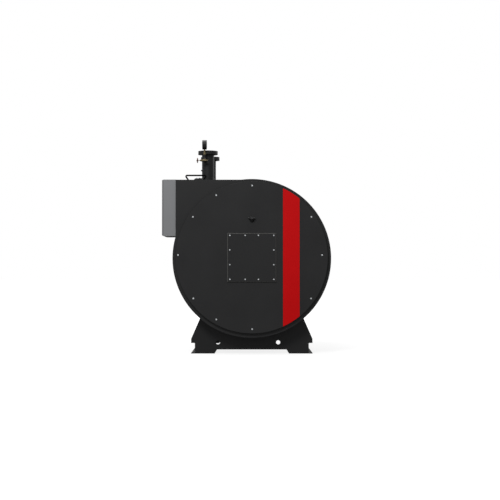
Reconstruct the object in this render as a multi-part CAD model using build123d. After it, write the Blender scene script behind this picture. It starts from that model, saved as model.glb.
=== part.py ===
from build123d import *
import math
import os

# Industrial boiler: a lagged horizontal drum on two saddles and two channel rails.
# Millimetres. +Z is up, the front cover faces -Y, and the control cabinet is on -X.
# The origin is on the floor, below the middle of the whole plant.

# Drum and lagging
ground_clearance = 300
cladding_radius = 1400
lagging_thickness = 100
shell_wall = 20
drum_length = 3390
rear_section_count = 2
panel_count = 4
first_seam_angle = 60
band_thickness = 3
band_width = 60

# Ends of the drum
end_plate_thickness = 12
cover_inset = 60
cover_rise = 16
cover_thickness = 55
cover_edge_radius = 6
stripe_inner_x = 549
stripe_width = 292
stripe_thickness = 4

# Burner plate and sight port on the front cover
burner_plate_side = 865
burner_plate_rise = 10
burner_plate_thickness = 20
burner_plate_chamfer = 12
sight_port_gap = 232
sight_port_tilt = 44
sight_port_neck_radius = 36
sight_port_clearance = 4
sight_port_cap_radius = 39
sight_port_cap_length = 14
sight_port_cap_ring = 10
sight_port_glass_depth = 5
sight_port_ear_reach = 63
sight_port_ear_width = 22
sight_port_ear_thickness = 8

# Square corner housing beside the drum, which carries the control cabinet
housing_side_inset = 54
housing_top_inset = 12
housing_length = 940

# Control cabinet
cabinet_depth = 244
cabinet_lift = 10
cabinet_overrun = 5
cabinet_end_margin = 20
door_thickness = 22
door_margin = 8
door_edge_radius = 5
lock_radius = 17
lock_depth = 6
lock_edge_gap = 38
lock_spacing = 560
gland_plate_thickness = 3
gland_plate_margin = 30
gland_plate_depth = 130
blank_radius = 24
blank_height = 4
blank_count = 5
blank_pitch = 78

# Water nozzles: DN200 pipe with a flat flange
nozzle_inset = 551
supply_setback = 545
nozzle_radius = 109.55
nozzle_wall = 8
nozzle_stand = 550
flange_thickness = 64
flange_pcd = 295
flange_edge = 30
flange_holes = 12
flange_hole_radius = 11
face_margin = 13.5
face_height = 3
collar_width = 28
collar_rise = 34
pipe_gap = 4

# Manhole behind the supply nozzle
manhole_side_step = 94
manhole_gap = 63
return_gap = 72
manhole_neck_radius = 142
manhole_wall = 10
manhole_flange_radius = 190
manhole_flange_thickness = 20
manhole_cover_thickness = 20
manhole_stand = 101

# Bent bar handle on top of the housing
handle_bar_radius = 14
handle_inset = 346
handle_top_half = 193
handle_foot_half = 125
handle_rise = 96
handle_setback = 245
handle_bend_radius = 18

# Instruments in front of the supply nozzle
instrument_side_step = 54
instrument_setback = 335
instrument_drop = 188
instrument_pipe_radius = 12
tee_radius = 20
tee_length = 64
tee_lip = 3
tee_reach = 30
tee_plug_radius = 15
tee_plug_length = 21
riser_length = 105
cock_foot_radius = 24
cock_foot_height = 28
cock_taper_height = 27
cock_top_radius = 13
cock_top_height = 37
gauge_radius = 84
gauge_thickness = 80
gauge_bezel_width = 8
gauge_dial_recess = 6
vent_bonnet_radius = 22
vent_bonnet_length = 16
vent_body_radius = 17
vent_body_length = 26
vent_tip_radius = 10
vent_tip_length = 6
vent_stem_radius = 5
vent_stem_length = 34
handwheel_radius = 46
handwheel_rim_radius = 9
handwheel_hub_radius = 14
handwheel_hub_length = 26
handwheel_spokes = 3
handwheel_spoke_width = 10
handwheel_spoke_thickness = 6
boss_drop = 352
boss_radius = 14
boss_reach = 12

# Saddles and rails
saddle_inset = 273
saddle_thickness = 20
saddle_top_half = 920
saddle_foot_half = 1085
saddle_slant_height = 263
cutout_height = 72
cutout_top_half = 621
cutout_bottom_half = 666
left_hole_x = -606
right_hole_x = 471
saddle_hole_radius = 37.5
saddle_hole_height = 199
rib_x = (-820, -280, 280, 820)
rib_thickness = 12
rib_depth = 140
rib_lift = 30
rib_toe_rise = 280
rail_height = 200
rail_flange = 75
rail_web = 8.5
rail_flange_thickness = 11.5
rail_root_radius = 11.5

# Rear cover, flue and drain
flue_rise = 560
flue_radius = 250
flue_wall = 5
flue_length = 300
flue_flange_width = 50
flue_flange_thickness = 12
flue_hole_count = 12
flue_hole_radius = 7
cleanout_x = 620
cleanout_drop = 520
cleanout_width = 520
cleanout_height = 360
cleanout_thickness = 30
cleanout_corner_radius = 40
cleanout_edge_radius = 8
drain_setback = 1750
drain_radius = 30.15
drain_wall = 2.9
drain_bottom = 150
drain_flange_edge = 20
drain_flange_thickness = 18
drain_pcd = 125
drain_holes = 4
drain_hole_radius = 9

# Radii and heights that follow from the drum
axis_height = ground_clearance + cladding_radius
cover_radius = cladding_radius - cover_inset
band_radius = cladding_radius + band_thickness
shell_radius = cladding_radius - lagging_thickness
shell_bore = shell_radius - shell_wall
sight_port_rise = burner_plate_rise + burner_plate_side / 2 + sight_port_gap
sight_port_glass_radius = sight_port_cap_radius - sight_port_cap_ring
sight_port_sine = math.sin(math.radians(sight_port_tilt))
sight_port_cosine = math.cos(math.radians(sight_port_tilt))
sight_port_length = sight_port_cap_radius * sight_port_sine / sight_port_cosine + sight_port_clearance
nozzle_top_rise = cladding_radius + nozzle_stand
nozzle_bore = nozzle_radius - nozzle_wall
flange_radius = flange_pcd / 2 + flange_edge
flange_bottom = axis_height + nozzle_top_rise - flange_thickness
face_radius = flange_pcd / 2 - face_margin
manhole_top_rise = cladding_radius + manhole_stand
instrument_height = axis_height + nozzle_top_rise - instrument_drop
boss_height = axis_height + nozzle_top_rise - boss_drop
drain_flange_radius = drain_pcd / 2 + drain_flange_edge
rib_foot_height = rail_height + rib_lift
rib_toe_height = rib_foot_height + rib_toe_rise
tee_socket_radius = tee_radius - tee_lip
cock_length = cock_foot_height + cock_taper_height + cock_top_height
vent_length = vent_bonnet_length + vent_body_length + vent_tip_length
gauge_edge_radius = 0.75 * gauge_bezel_width

# The corner housing, and the cabinet that covers its flat side
housing_reach = cladding_radius - housing_side_inset
housing_rise = cladding_radius - housing_top_inset
housing_side_bottom = math.sqrt(cladding_radius**2 - housing_reach**2)
housing_top_end = math.sqrt(cladding_radius**2 - housing_rise**2)
cabinet_bottom_rise = housing_side_bottom + cabinet_lift
cabinet_height = housing_rise + cabinet_overrun - cabinet_bottom_rise
cabinet_width = housing_length - 2 * cabinet_end_margin
cabinet_reach = housing_reach + cabinet_depth
gland_plate_width = blank_count * blank_pitch + gland_plate_margin

# Places across X, from the boiler axis, and the axis from the middle of the whole box
nozzle_x = -(housing_reach - nozzle_inset)
manhole_x = nozzle_x - manhole_side_step
instrument_x = nozzle_x - instrument_side_step
handle_middle_x = -(housing_reach - handle_inset)
axis_x = (cabinet_reach - band_radius) / 2

# Stations along Y, from the lowest edge of the sight port's cap to the flue flange
sight_port_stand = (sight_port_length + sight_port_cap_length) * sight_port_cosine
sight_port_reach = sight_port_stand + sight_port_cap_radius * sight_port_sine
end_thickness = cover_thickness + end_plate_thickness
overall_length = sight_port_reach + 2 * end_thickness + drum_length + flue_length
front_tip = -overall_length / 2
cover_front = front_tip + sight_port_reach
cover_back = cover_front + cover_thickness
drum_front = cover_back + end_plate_thickness
drum_back = drum_front + drum_length
first_seam = drum_front + housing_length + band_width / 2
rear_section_length = (drum_back - first_seam) / rear_section_count
second_seam = first_seam + rear_section_length
rear_plate_back = drum_back + end_plate_thickness
rear_cover_back = rear_plate_back + cover_thickness
supply_y = cover_back + supply_setback
manhole_y = drum_front + housing_length + manhole_gap + manhole_flange_radius
return_y = manhole_y + manhole_flange_radius + return_gap + nozzle_radius + collar_width
handle_y = cover_back + handle_setback
instrument_y = cover_back + instrument_setback
drain_y = cover_back + drain_setback
cabinet_y = drum_front + housing_length / 2
front_saddle_y = drum_front + saddle_inset
rear_saddle_y = drum_back - saddle_inset - saddle_thickness
rail_length = rear_saddle_y + saddle_thickness - front_saddle_y

os.makedirs("parts", exist_ok=True)


def upright(x, y, z):
    """A plane at a point given from the boiler axis, with Z as its normal."""
    return Plane(origin=(axis_x + x, y, z), x_dir=(1, 0, 0), z_dir=(0, 0, 1))


def facing_front(y):
    """The plane across the boiler at y, with -Y as its normal and its centre on the axis."""
    return Plane(origin=(axis_x, y, axis_height), x_dir=(1, 0, 0), z_dir=(0, -1, 0))


def facing_left(x, y, z):
    """A plane at a point given from the boiler axis, with -X as its normal."""
    return Plane(origin=(axis_x + x, y, z), x_dir=(0, -1, 0), z_dir=(-1, 0, 0))


def slab(outline, front, depth):
    """Extrude an outline, drawn in X and Z about the axis, from front towards +Y."""
    return extrude(facing_front(front + depth) * outline, amount=depth)


def drum(radius, front=drum_front, length=drum_length):
    """A solid cylinder on the boiler axis."""
    return slab(Circle(radius), front, length)


def upright_cylinder(x, y, bottom, top, radius):
    """A solid cylinder standing on bottom."""
    return extrude(upright(x, y, bottom) * Circle(radius), amount=top - bottom)


def upright_tube(x, y, bottom, top, radius, wall):
    """A vertical pipe."""
    ring = Circle(radius) - Circle(radius - wall)
    return extrude(upright(x, y, bottom) * ring, amount=top - bottom)


def repeated(places, outline):
    """One sketch that holds a copy of an outline at each place."""
    return Sketch() + [place * outline for place in places]


def turned(plane, *points):
    """Revolve a closed profile of (radius, height) points about the normal of a plane."""
    profile = make_face(Polyline(*points, close=True))
    lathe = Plane.XZ * profile
    return plane * revolve(lathe, Axis.Z)


def corner_outline():
    """The square corner beside the drum, drawn about the axis, down to the drum's side."""
    outline = Polyline(
        (0, 0),
        (-housing_reach, housing_side_bottom),
        (-housing_reach, housing_rise),
        (-housing_top_end, housing_rise),
        close=True,
    )
    return make_face(outline)


def flanged_top(x, y):
    """A flat DN200 flange with a raised sealing face, level with the top of its nozzle."""
    face_bottom = flange_bottom + flange_thickness - face_height
    body = upright_cylinder(x, y, flange_bottom, face_bottom, flange_radius)
    body += upright_cylinder(x, y, face_bottom, flange_bottom + flange_thickness, face_radius)
    body -= upright_cylinder(x, y, flange_bottom, flange_bottom + flange_thickness, nozzle_bore)
    holes = PolarLocations(flange_pcd / 2, flange_holes, start_angle=180 / flange_holes)
    drill = upright(x, y, flange_bottom) * repeated(holes, Circle(flange_hole_radius))
    return body - extrude(drill, amount=flange_thickness)


def nozzle(x, y):
    """A pipe that stands on the drum's shell, cut to its curve."""
    pipe = upright_tube(x, y, axis_height, flange_bottom, nozzle_radius, nozzle_wall)
    return pipe - drum(shell_radius)


def collar(x, y, seat):
    """A sheet collar round a nozzle, where it comes through the lagging."""
    top = axis_height + housing_rise + collar_rise
    return upright_tube(x, y, axis_height, top, nozzle_radius + collar_width, collar_width) - seat


def saddle_outline():
    """Saddle plate seen from the front: it stands between the rails and on top of them."""
    foot = rail_web_face()
    rail_top = rail_height - axis_height
    half = [
        (0, cutout_height - axis_height),
        (cutout_top_half, cutout_height - axis_height),
        (cutout_bottom_half, -axis_height),
        (foot, -axis_height),
        (foot, rail_top),
        (saddle_foot_half, rail_top),
        (saddle_foot_half, saddle_slant_height - axis_height),
        (saddle_top_half, -math.sqrt(cladding_radius**2 - saddle_top_half**2)),
        (0, 0),
    ]
    right = make_face(Polyline(*half, close=True))
    left = mirror(right, Plane.YZ)
    return right + left - Circle(cladding_radius)


def rail_web_face():
    """How far the inner face of each rail's web is from the middle."""
    return saddle_foot_half - rail_flange


def saddle(y):
    """A saddle plate with its two round holes."""
    outline = saddle_outline()
    for hole_x in (left_hole_x, right_hole_x):
        outline -= Pos(hole_x, saddle_hole_height - axis_height) * Circle(saddle_hole_radius)
    return slab(outline, y, saddle_thickness)


def saddle_ribs(y, direction):
    """Upright ribs that brace a saddle plate against the drum, on the side given by direction."""
    ribs = []
    face = y + saddle_thickness if direction > 0 else y
    for x in rib_x:
        profile = Polyline(
            (0, rib_foot_height),
            (0, axis_height),
            (direction * rib_depth, axis_height),
            (direction * rib_depth, rib_toe_height),
            close=True,
        )
        side = Plane(origin=(axis_x + x, face, 0), x_dir=(0, 1, 0), z_dir=(1, 0, 0))
        rib = extrude(side * make_face(profile), amount=rib_thickness / 2, both=True)
        ribs.append(rib - drum(cladding_radius))
    return ribs


def rail(side):
    """A channel rail whose open side faces away from the middle."""
    inner = rail_web_face()
    outline = Polyline(
        (inner, 0),
        (inner + rail_flange, 0),
        (inner + rail_flange, rail_flange_thickness),
        (inner + rail_web, rail_flange_thickness),
        (inner + rail_web, rail_height - rail_flange_thickness),
        (inner + rail_flange, rail_height - rail_flange_thickness),
        (inner + rail_flange, rail_height),
        (inner, rail_height),
        close=True,
    )
    face = make_face(outline)
    roots = face.vertices().group_by(Axis.X)[1]
    face = fillet(roots, rail_root_radius)
    if side < 0:
        face = mirror(face, Plane.YZ)
    back = Plane(origin=(axis_x, front_saddle_y + rail_length, 0), x_dir=(1, 0, 0), z_dir=(0, -1, 0))
    return extrude(back * face, amount=rail_length)


def panels(ring):
    """Part a ring of the drum into curved panels that meet along its length."""
    reach = 2 * cladding_radius
    spread = math.radians(360 / panel_count)
    far_corner = (reach * math.cos(spread), reach * math.sin(spread))
    wedge = make_face(Polyline((0, 0), (reach, 0), far_corner, close=True))
    made = []
    for index in range(panel_count):
        angle = first_seam_angle + index * 360 / panel_count
        made.append(ring & slab(Rot(0, 0, angle) * wedge, drum_front, drum_length))
    return made


def cladding_section(front, back):
    """One length of lagging with its sheet skin, open where pipes come through."""
    section = drum(cladding_radius, front, back - front) - drum(shell_radius, front, back - front)
    for cutter in cutters:
        section -= cutter
    return panels(section)


def front_cover_disc(radius):
    """The outline of the front cover, which sits a little above the drum axis."""
    return Pos(0, cover_rise) * Circle(radius)


def front_cover():
    """The round front cover, with its edge rounded at the front."""
    cover = slab(front_cover_disc(cover_radius), cover_front, cover_thickness)
    rim = cover.edges().filter_by(GeomType.CIRCLE).sort_by(Axis.Y)[0]
    return fillet(rim, cover_edge_radius)


def rear_cover():
    """The round rear cover, open at the flue."""
    cover = drum(cover_radius, rear_plate_back, cover_thickness)
    rim = cover.edges().filter_by(GeomType.CIRCLE).sort_by(Axis.Y)[-1]
    return fillet(rim, cover_edge_radius) - flue_duct(rear_plate_back, cover_thickness)


def flue_duct(front, length):
    """The gas passage as a solid, for cutting."""
    return slab(Pos(0, flue_rise) * Circle(flue_radius - flue_wall), front, length)


def stripe_panel():
    """An upright band across the cover, ending at the cover's edge."""
    band = Pos(stripe_inner_x + stripe_width / 2, cover_rise) * Rectangle(stripe_width, 2 * cover_radius)
    flat = front_cover_disc(cover_radius - cover_edge_radius)
    return slab(band & flat, cover_front - stripe_thickness, stripe_thickness)


def burner_plate():
    """The square plate over the burner mouth, bevelled all round its front."""
    outline = Pos(0, burner_plate_rise) * Rectangle(burner_plate_side, burner_plate_side)
    plate = slab(outline, cover_front - burner_plate_thickness, burner_plate_thickness)
    front_edges = plate.faces().sort_by(Axis.Y)[0].edges()
    return chamfer(front_edges, burner_plate_chamfer)


def sight_port_plane(along):
    """The plane across the sight port's leaning axis, at a distance along it from the cover."""
    y = cover_front - along * sight_port_cosine
    z = axis_height + sight_port_rise + along * sight_port_sine
    return Plane(origin=(axis_x, y, z), x_dir=(1, 0, 0), z_dir=(0, -sight_port_cosine, sight_port_sine))


def sight_port_neck():
    """A short tube that leans upwards from the cover, cut flush with it."""
    sink = 2 * sight_port_neck_radius
    tube = extrude(sight_port_plane(-sink) * Circle(sight_port_neck_radius), amount=sink + sight_port_length)
    return split(tube, bisect_by=facing_front(cover_front), keep=Keep.TOP)


def sight_port_cap():
    """The ring that holds the glass, with an ear on each side for its bolts."""
    seat = sight_port_plane(sight_port_length)
    glass_seat = sight_port_cap_length - sight_port_glass_depth
    points = [
        (0, 0),
        (sight_port_cap_radius, 0),
        (sight_port_cap_radius, sight_port_cap_length),
        (sight_port_glass_radius, sight_port_cap_length),
        (sight_port_glass_radius, glass_seat),
        (0, glass_seat),
    ]
    ears = seat * SlotOverall(2 * sight_port_ear_reach, sight_port_ear_width)
    return turned(seat, *points) + extrude(ears, amount=sight_port_ear_thickness)


def corner_housing(cutter):
    """The closed sheet housing that squares off the drum's upper left side."""
    block = slab(corner_outline(), drum_front, housing_length)
    return block - drum(cladding_radius) - cutter


def cabinet_box():
    """The cabinet body, behind its door."""
    depth = cabinet_depth - door_thickness
    bottom = upright(-housing_reach - depth / 2, cabinet_y, axis_height + cabinet_bottom_rise)
    return extrude(bottom * Rectangle(depth, cabinet_width), amount=cabinet_height)


def cabinet_door():
    """The door of the cabinet, with rounded edges and two round recesses for flush locks."""
    middle = axis_height + cabinet_bottom_rise + cabinet_height / 2
    width = cabinet_width - 2 * door_margin
    height = cabinet_height - 2 * door_margin
    back = facing_left(door_thickness - cabinet_reach, cabinet_y, middle)
    door = extrude(back * Rectangle(width, height), amount=door_thickness)
    outer_edges = door.faces().sort_by(Axis.X)[0].edges()
    door = fillet(outer_edges, door_edge_radius)
    lock_y = cabinet_y - width / 2 + lock_edge_gap
    face = facing_left(-cabinet_reach, lock_y, middle)
    locks = face * repeated(GridLocations(0, lock_spacing, 1, 2), Circle(lock_radius))
    return door - extrude(locks, amount=-lock_depth)


def gland_plate():
    """The plate under the cabinet where cables can enter, with a disc over each spare hole."""
    centre_x = -housing_reach - (cabinet_depth - door_thickness) / 2
    bottom = axis_height + cabinet_bottom_rise - gland_plate_thickness
    under = upright(centre_x, cabinet_y, bottom)
    plate = extrude(under * Rectangle(gland_plate_depth, gland_plate_width), amount=gland_plate_thickness)
    row = GridLocations(0, blank_pitch, 1, blank_count)
    discs = under * repeated(row, Circle(blank_radius))
    return plate + extrude(discs, amount=-blank_height)


def manhole_neck():
    top = axis_height + manhole_top_rise - manhole_cover_thickness - manhole_flange_thickness
    neck = upright_tube(manhole_x, manhole_y, axis_height, top, manhole_neck_radius, manhole_wall)
    return neck - drum(shell_radius)


def manhole_flange():
    bottom = axis_height + manhole_top_rise - manhole_cover_thickness - manhole_flange_thickness
    width = manhole_flange_radius - manhole_neck_radius + manhole_wall
    top = bottom + manhole_flange_thickness
    return upright_tube(manhole_x, manhole_y, bottom, top, manhole_flange_radius, width)


def manhole_cover():
    top = axis_height + manhole_top_rise
    bottom = top - manhole_cover_thickness
    return upright_cylinder(manhole_x, manhole_y, bottom, top, manhole_flange_radius)


def top_handle():
    """A round bar bent to a handle whose legs lean in towards their feet."""
    seat = axis_height + housing_rise
    lean = (handle_top_half - handle_foot_half) / handle_rise
    sink = 2 * handle_bar_radius
    foot = handle_foot_half - lean * sink
    path = FilletPolyline(
        (-foot, -sink),
        (-handle_top_half, handle_rise),
        (handle_top_half, handle_rise),
        (foot, -sink),
        radius=handle_bend_radius,
    )
    plane = Plane(origin=(axis_x + handle_middle_x, handle_y, seat), x_dir=(1, 0, 0), z_dir=(0, -1, 0))
    path = plane * path
    bar = sweep(Plane(origin=path @ 0, z_dir=path % 0) * Circle(handle_bar_radius), path=path)
    return split(bar, bisect_by=upright(handle_middle_x, handle_y, seat), keep=Keep.TOP)


def instrument_pipe():
    """The black pipe from the nozzle to the tee, and the riser from the tee to the gauge cock."""
    across = facing_front(supply_y) * Pos(instrument_x, instrument_height - axis_height)
    run_length = supply_y - instrument_y - tee_reach
    run = extrude(across * Circle(instrument_pipe_radius), amount=run_length)
    run -= upright_cylinder(nozzle_x, supply_y, axis_height, flange_bottom, nozzle_radius)
    riser_bottom = instrument_height + tee_reach
    riser_top = instrument_height + riser_length
    riser = upright_cylinder(instrument_x, instrument_y, riser_bottom, riser_top, instrument_pipe_radius)
    return [run, riser]


def instrument_tee():
    """A tee with a socket for the pipe, one for the riser, and a hexagon plug in its right end."""
    right_end = facing_left(instrument_x + tee_length / 2, instrument_y, instrument_height)
    tee = extrude(right_end * Circle(tee_radius), amount=tee_length)
    tee += extrude(right_end * RegularPolygon(tee_plug_radius, 6), amount=-tee_plug_length)
    top = instrument_height + tee_reach
    tee += upright_cylinder(instrument_x, instrument_y, instrument_height, top, tee_socket_radius)
    middle = facing_front(instrument_y) * Pos(instrument_x, instrument_height - axis_height)
    return tee + extrude(middle * Circle(tee_socket_radius), amount=-tee_reach)


def gauge_cock():
    """A brass cock that narrows towards the gauge."""
    height = instrument_height + riser_length
    points = [
        (0, 0),
        (cock_foot_radius, 0),
        (cock_foot_radius, cock_foot_height),
        (cock_top_radius, cock_foot_height + cock_taper_height),
        (cock_top_radius, cock_length),
        (0, cock_length),
    ]
    return turned(upright(instrument_x, instrument_y, height), *points)


def pressure_gauge():
    """A round gauge with softened edges whose dial faces -X, recessed in its bezel."""
    height = instrument_height + riser_length + cock_length
    rim = gauge_radius - gauge_bezel_width
    points = [
        (0, 0),
        (gauge_radius, 0),
        (gauge_radius, gauge_thickness),
        (rim, gauge_thickness),
        (rim, gauge_thickness - gauge_dial_recess),
        (0, gauge_thickness - gauge_dial_recess),
    ]
    seat = upright_cylinder(instrument_x, instrument_y, axis_height, height, cock_top_radius)
    centre = facing_left(instrument_x + gauge_thickness / 2, instrument_y, height + gauge_radius)
    case = turned(centre, *points)
    outer_edges = [edge for edge in case.edges().filter_by(GeomType.CIRCLE) if edge.radius > rim]
    return fillet(outer_edges, gauge_edge_radius) - seat


def vent_valve():
    """The brass tee with a small valve in its left end."""
    start = instrument_x - tee_length / 2
    points = [
        (0, 0),
        (vent_bonnet_radius, 0),
        (vent_bonnet_radius, vent_bonnet_length),
        (vent_body_radius, vent_bonnet_length),
        (vent_body_radius, vent_length - vent_tip_length),
        (vent_tip_radius, vent_length),
        (0, vent_length),
    ]
    return instrument_tee() + turned(facing_left(start, instrument_y, instrument_height), *points)


def vent_handwheel():
    """A spoked wheel on the end of the valve's stem."""
    start = instrument_x - tee_length / 2 - vent_length
    plane = facing_left(start, instrument_y, instrument_height)
    wheel_height = vent_stem_length + handwheel_hub_length / 2
    ring_radius = handwheel_radius - handwheel_rim_radius
    stem = extrude(Circle(vent_stem_radius), amount=vent_stem_length)
    hub = Pos(0, 0, vent_stem_length) * extrude(Circle(handwheel_hub_radius), amount=handwheel_hub_length)
    section = Plane.XZ * Pos(ring_radius, wheel_height) * Circle(handwheel_rim_radius)
    rim = revolve(section, Axis.Z)
    wheel = stem + hub + rim
    spoke = Pos(ring_radius / 2, 0, wheel_height) * Box(
        ring_radius, handwheel_spoke_width, handwheel_spoke_thickness
    )
    for turn in PolarLocations(0, handwheel_spokes):
        wheel += turn * spoke
    return plane * wheel


def sensor_boss():
    """A short threaded boss on the left side of the supply nozzle."""
    plane = facing_left(nozzle_x, supply_y, boss_height)
    boss = extrude(plane * Circle(boss_radius), amount=nozzle_radius + boss_reach)
    return boss - upright_cylinder(nozzle_x, supply_y, axis_height, flange_bottom, nozzle_radius)


def flue_collar():
    ring = Circle(flue_radius) - Circle(flue_radius - flue_wall)
    return slab(Pos(0, flue_rise) * ring, rear_cover_back, flue_length - flue_flange_thickness)


def flue_flange():
    """The flat ring on the end of the flue collar, drilled for its bolts."""
    outer = flue_radius + flue_flange_width
    ring = Circle(outer) - Circle(flue_radius - flue_wall)
    pitch_radius = flue_radius + flue_flange_width / 2
    ring -= repeated(PolarLocations(pitch_radius, flue_hole_count), Circle(flue_hole_radius))
    front = rear_cover_back + flue_length - flue_flange_thickness
    return slab(Pos(0, flue_rise) * ring, front, flue_flange_thickness)


def cleanout_cover(side):
    outline = Pos(side * cleanout_x, -cleanout_drop) * RectangleRounded(
        cleanout_width, cleanout_height, cleanout_corner_radius
    )
    cover = slab(outline, rear_cover_back, cleanout_thickness)
    back_edges = cover.faces().sort_by(Axis.Y)[-1].edges()
    return fillet(back_edges, cleanout_edge_radius)


def drain_pipe():
    bottom = drain_bottom + drain_flange_thickness
    pipe = upright_tube(0, drain_y, bottom, axis_height, drain_radius, drain_wall)
    return pipe - drum(shell_radius)


def drain_flange():
    ring = Circle(drain_flange_radius) - Circle(drain_radius - drain_wall)
    holes = PolarLocations(drain_pcd / 2, drain_holes, start_angle=45)
    ring -= repeated(holes, Circle(drain_hole_radius))
    return extrude(upright(0, drain_y, drain_bottom) * ring, amount=drain_flange_thickness)


def round_pipe_cutters():
    """Where pipes come through the lagging and the housing, with a small gap round each."""
    top = axis_height + nozzle_top_rise
    hole = nozzle_radius + pipe_gap
    supply = upright_cylinder(nozzle_x, supply_y, axis_height, top, hole)
    back = upright_cylinder(nozzle_x, return_y, axis_height, top, hole)
    manhole = upright_cylinder(
        manhole_x, manhole_y, axis_height, top, manhole_neck_radius + pipe_gap
    )
    drain = upright_cylinder(0, drain_y, 0, axis_height, drain_radius + pipe_gap)
    return [supply, back, manhole, drain]


def pressure_shell(front, back):
    """The plates of one course of the drum's steel shell, open into each nozzle."""
    shell = drum(shell_radius, front, back - front) - drum(shell_bore, front, back - front)
    top = axis_height + nozzle_top_rise
    for y in (supply_y, return_y):
        shell -= upright_cylinder(nozzle_x, y, axis_height, top, nozzle_bore)
    shell -= upright_cylinder(manhole_x, manhole_y, axis_height, top, manhole_neck_radius - manhole_wall)
    shell -= upright_cylinder(0, drain_y, 0, axis_height, drain_radius - drain_wall)
    return panels(shell)


def seam_band(seam):
    """The strap over the joint between two lengths of cladding."""
    ring = Circle(band_radius) - Circle(cladding_radius)
    return slab(ring, seam - band_width / 2, band_width)


cutters = round_pipe_cutters()
middle_plates = pressure_shell(first_seam, second_seam)
middle_panels = cladding_section(first_seam, second_seam)
housing_block = slab(corner_outline(), drum_front, housing_length) + drum(cladding_radius)

parts = {
    "front_cover": front_cover(),
    "front_end_plate": slab(Circle(cladding_radius) + corner_outline(), cover_back, end_plate_thickness),
    "stripe_panel": stripe_panel(),
    "burner_plate": burner_plate(),
    "sight_port_neck": sight_port_neck(),
    "sight_port_cap": sight_port_cap(),
    "pressure_shell_front": pressure_shell(drum_front, first_seam),
    "pressure_shell_manhole_plate": middle_plates[0],
    "pressure_shell_middle": middle_plates[1:],
    "pressure_shell_rear": pressure_shell(second_seam, drum_back),
    "cladding_front": cladding_section(drum_front, first_seam),
    "cladding_manhole_panel": middle_panels[0],
    "cladding_middle": middle_panels[1:],
    "cladding_rear": cladding_section(second_seam, drum_back),
    "seam_band_front": seam_band(first_seam),
    "seam_band_rear": seam_band(second_seam),
    "corner_housing": corner_housing(cutters[0]),
    "cabinet_body": cabinet_box(),
    "cabinet_door": cabinet_door(),
    "cabinet_gland_plate": gland_plate(),
    "supply_nozzle": nozzle(nozzle_x, supply_y),
    "supply_flange": flanged_top(nozzle_x, supply_y),
    "supply_collar": collar(nozzle_x, supply_y, housing_block),
    "return_nozzle": nozzle(nozzle_x, return_y),
    "return_flange": flanged_top(nozzle_x, return_y),
    "return_collar": collar(nozzle_x, return_y, drum(cladding_radius)),
    "manhole_neck": manhole_neck(),
    "manhole_flange": manhole_flange(),
    "manhole_cover": manhole_cover(),
    "top_handle": top_handle(),
    "instrument_pipe": instrument_pipe(),
    "gauge_cock": gauge_cock(),
    "pressure_gauge": pressure_gauge(),
    "vent_valve": vent_valve(),
    "vent_handwheel": vent_handwheel(),
    "sensor_boss": sensor_boss(),
    "front_saddle": saddle(front_saddle_y),
    "rear_saddle": saddle(rear_saddle_y),
    "front_saddle_ribs": saddle_ribs(front_saddle_y, 1),
    "rear_saddle_ribs": saddle_ribs(rear_saddle_y, -1),
    "left_rail": rail(-1),
    "right_rail": rail(1),
    "rear_end_plate": drum(cladding_radius, drum_back, end_plate_thickness)
    - flue_duct(drum_back, end_plate_thickness),
    "rear_cover": rear_cover(),
    "flue_collar": flue_collar(),
    "flue_flange": flue_flange(),
    "left_cleanout_cover": cleanout_cover(-1),
    "right_cleanout_cover": cleanout_cover(1),
    "drain_pipe": drain_pipe(),
    "drain_flange": drain_flange(),
}

for name, made in parts.items():
    shapes = made if isinstance(made, list) else [made]
    solids = [piece for shape in shapes for piece in shape.solids()]
    export_step(Compound(children=solids), f"parts/{name}.step")
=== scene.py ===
import math
import random

import bmesh
import bpy
from mathutils import Matrix, Vector


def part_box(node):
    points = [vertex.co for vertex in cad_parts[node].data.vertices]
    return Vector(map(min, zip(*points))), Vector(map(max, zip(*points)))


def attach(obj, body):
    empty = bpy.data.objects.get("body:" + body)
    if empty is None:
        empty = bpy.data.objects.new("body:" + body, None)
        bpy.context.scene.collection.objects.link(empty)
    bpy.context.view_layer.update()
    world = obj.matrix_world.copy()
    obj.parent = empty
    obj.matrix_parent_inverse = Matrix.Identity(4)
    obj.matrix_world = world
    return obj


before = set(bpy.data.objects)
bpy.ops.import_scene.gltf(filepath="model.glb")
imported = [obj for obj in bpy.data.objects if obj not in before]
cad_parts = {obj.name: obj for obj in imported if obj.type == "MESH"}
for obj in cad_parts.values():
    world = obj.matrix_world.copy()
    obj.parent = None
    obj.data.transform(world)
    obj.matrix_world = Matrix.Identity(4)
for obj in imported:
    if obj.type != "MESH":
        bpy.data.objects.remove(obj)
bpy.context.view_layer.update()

# Industrial boiler: finishes, bolts, rivets, weld beads, gauge dial and fittings.
# Metres. +Z is up and the front cover faces -Y.

randoms = random.Random(41)
up = Vector((0, 0, 1))
to_front = Vector((0, -1, 0))
to_back = Vector((0, 1, 0))
to_left = Vector((-1, 0, 0))
to_right = Vector((1, 0, 0))

# Camera of the photograph
camera_distance = 19.5
camera_height = 1.480
camera_lens = 79.8
camera_sensor = 36
camera_pitch = 1.07
camera_yaw = 0.093
camera_reach = 400

# Lamps: place, size, power and whether surfaces mirror it
lamps = {
    "key_lamp": ((-4.5, -13.8, 12.2), 5, 2440, True),
    "fill_lamp": ((7.5, 8.0, 7.0), 5, 230, True),
    "top_lamp": ((-1.5, -0.4, 8.0), 5, 560, True),
    "rear_lamp": ((2.0, 15.0, 8.0), 6, 2000, False),
}
lamp_target = (0, 0, 1.6)

# Room and floor
shown_white = 1.0
ambient_level = 0.46
floor_half = 150
floor_white = 0.16
near_glow = 0.84
far_glow = 0.97
near_floor = 3.0
far_floor = 12.0
mirror_front = -2.0
mirror_back = 3.0

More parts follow.
